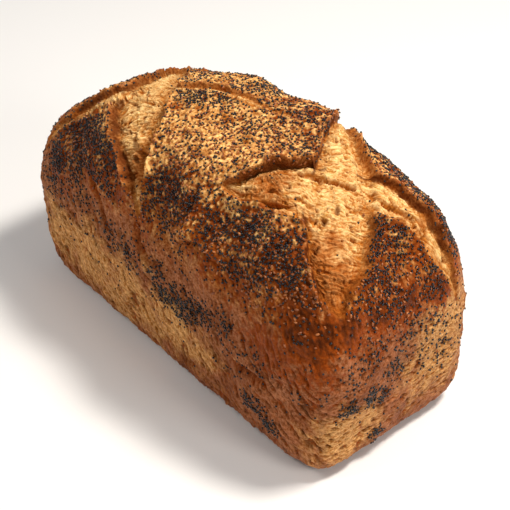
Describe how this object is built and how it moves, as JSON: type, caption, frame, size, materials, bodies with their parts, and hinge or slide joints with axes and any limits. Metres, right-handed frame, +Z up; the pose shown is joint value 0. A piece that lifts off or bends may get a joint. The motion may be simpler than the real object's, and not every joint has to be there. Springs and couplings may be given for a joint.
{
  "type": "seeded sourdough loaf",
  "caption": "Tall tin-baked sourdough loaf with a domed crown torn open along crossing diagonal slashes, browned crust strewn with small dark and reddish seeds, flat base.",
  "frame": {"origin": "middle of the flat base, on the surface the loaf stands on", "axes": "+X along the loaf towards the end nearest the viewer, +Y across it towards the back, +Z up"},
  "size_m": [0.2723, 0.1351, 0.1613],
  "materials": {
    "crust": "baked crust, matt on the torn crumb and faintly glossy where it is dark brown"
  },
  "bodies": {
    "root": {"loaf": "crust"}
  },
  "joints": []
}
